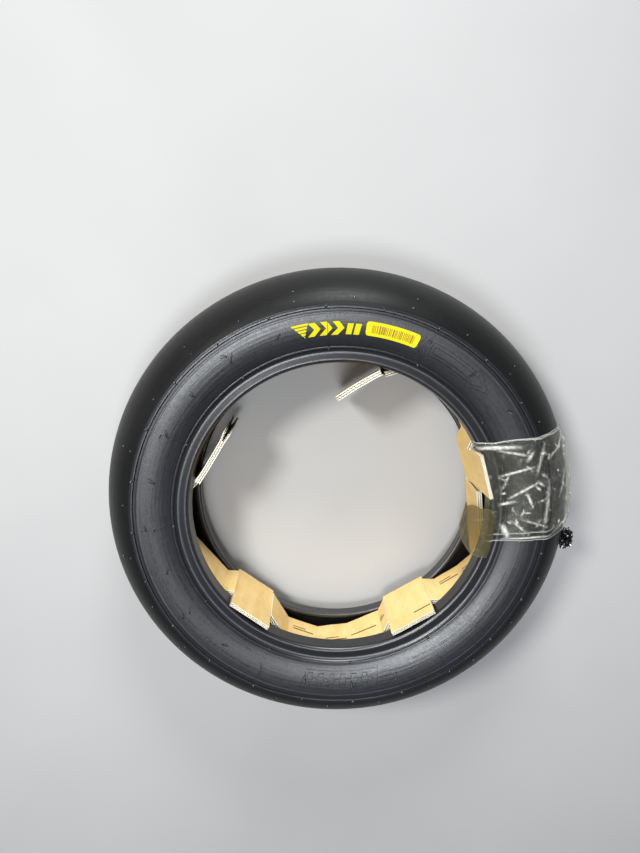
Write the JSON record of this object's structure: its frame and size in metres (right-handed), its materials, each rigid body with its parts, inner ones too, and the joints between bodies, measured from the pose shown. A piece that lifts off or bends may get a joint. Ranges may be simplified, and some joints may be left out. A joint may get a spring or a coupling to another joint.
{
  "type": "motorcycle tire",
  "caption": "Slick treadless motorcycle tire with layered carcass and wire beads, its bead-spreading carton strip with two creased free ends, and a film band around one side.",
  "frame": {"origin": "centre of the tire: on the axle line, at the middle of the tread", "axes": "+Z along the axle line, towards the side that carries the yellow marks; +X towards the side that carries the film band; the tire lies on its side"},
  "size_m": [0.4914, 0.4848, 0.1168],
  "materials": {
    "tread_rubber": "smooth satin rubber",
    "side_rubber": "satin rubber with a cool sheen",
    "bead_rubber": "semi-gloss rubber",
    "base_rubber": "matt rubber",
    "liner_rubber": "smooth rubber",
    "ply_cord": "rubbered cord",
    "carcass_cord": "rubbered cord",
    "chafer_fabric": "woven, rubbered",
    "bead_wire": "bronze-coated steel wire",
    "yellow_paint": "flat paint",
    "label_paper": "printed paper label",
    "label_ink": "flat ink",
    "carton": "brown double-wall board",
    "clear_film": "clear crinkled film",
    "black_film": "shiny black film"
  },
  "bodies": {
    "tire": {"tread_cap": "tread_rubber", "tread_base": "base_rubber", "belt_ply_outer": "ply_cord", "belt_ply_inner": "ply_cord", "shoulder_wedge_upper": "base_rubber", "shoulder_wedge_lower": "base_rubber", "carcass_ply": "carcass_cord", "inner_liner": "liner_rubber", "sidewall_upper": "side_rubber", "sidewall_lower": "side_rubber", "rim_cushion_upper": "bead_rubber", "rim_cushion_lower": "bead_rubber", "chafer_upper": "chafer_fabric", "chafer_lower": "chafer_fabric", "bead_filler_upper": "base_rubber", "bead_filler_lower": "base_rubber", "bead_wires_upper": "bead_wire", "bead_wires_lower": "bead_wire", "wing_mark": "yellow_paint", "compound_mark": "yellow_paint", "barcode_label": "label_paper", "barcode_bars": "label_ink", "spreader_strip": "carton", "film_wrap": "clear_film", "film_knot": "black_film"},
    "left_flap": {"spreader_flap_left": "carton"},
    "right_flap": {"spreader_flap_right": "carton"}
  },
  "joints": [
    {"name": "left_flap_crease", "type": "hinge", "parent": "tire", "child": "left_flap", "pos_m": [-0.1407, 0.0307, 0], "axis": [0, 0, 1], "range_deg": [-75, 6]},
    {"name": "right_flap_crease", "type": "hinge", "parent": "tire", "child": "right_flap", "pos_m": [0.0459, 0.136, 0], "axis": [-0.0806, 0.1341, 0.9877], "range_deg": [-22, 55]}
  ]
}
